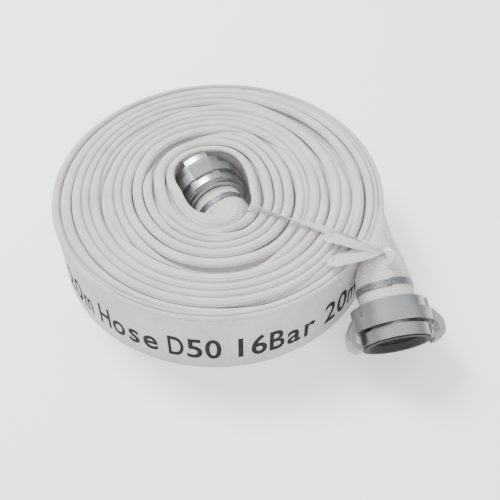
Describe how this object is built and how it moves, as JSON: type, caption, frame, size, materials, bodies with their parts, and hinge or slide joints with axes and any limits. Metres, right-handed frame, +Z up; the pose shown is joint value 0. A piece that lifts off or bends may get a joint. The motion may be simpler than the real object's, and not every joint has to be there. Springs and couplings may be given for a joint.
{
  "type": "rolled fire hose",
  "caption": "White woven layflat fire hose in a tight flat roll, tied with clear film tape, with an aluminium claw coupling wired onto each end.",
  "frame": {"origin": "centre of the object's footprint on the floor, at floor level", "axes": "+Z up, out of the flat side of the roll; +Y away from the viewer; the outer coupling is at the front right (+X, -Y)"},
  "size_m": [0.3907, 0.3444, 0.0977],
  "materials": {
    "hose_fabric": "tight white polyester weave, slightly warm and matt",
    "lining_rubber": "smooth black rubber",
    "cast_aluminium": "cast and machined, satin with fine turning marks",
    "seal_rubber": "black moulded rubber",
    "ring_steel": "bright spring steel",
    "binding_wire": "dull galvanised soft wire",
    "tie_film": "thin clear film, creased and glossy"
  },
  "bodies": {
    "hose": {"hose_jacket": "hose_fabric", "outer_lining": "lining_rubber", "inner_lining": "lining_rubber", "outer_shank": "cast_aluminium", "outer_seal": "seal_rubber", "outer_retaining_ring": "ring_steel", "outer_binding_wire": "binding_wire", "inner_shank": "cast_aluminium", "inner_seal": "seal_rubber", "inner_retaining_ring": "ring_steel", "inner_binding_wire": "binding_wire", "tie_tape": "tie_film", "tie_knot": "tie_film", "tie_bow": "tie_film"},
    "outer_cage": {"outer_cage": "cast_aluminium"},
    "inner_cage": {"inner_cage": "cast_aluminium"}
  },
  "joints": [
    {"name": "outer_cage_swivel", "type": "hinge", "parent": "hose", "child": "outer_cage", "pos_m": [0.1486, -0.1588, 0.0332], "axis": [0.1636, -0.9277, -0.3354], "continuous": true},
    {"name": "inner_cage_swivel", "type": "hinge", "parent": "hose", "child": "inner_cage", "pos_m": [-0.0454, 0.0442, 0.0492], "axis": [-0.4384, 0.8988, 0], "range_deg": [-8, 22]}
  ]
}
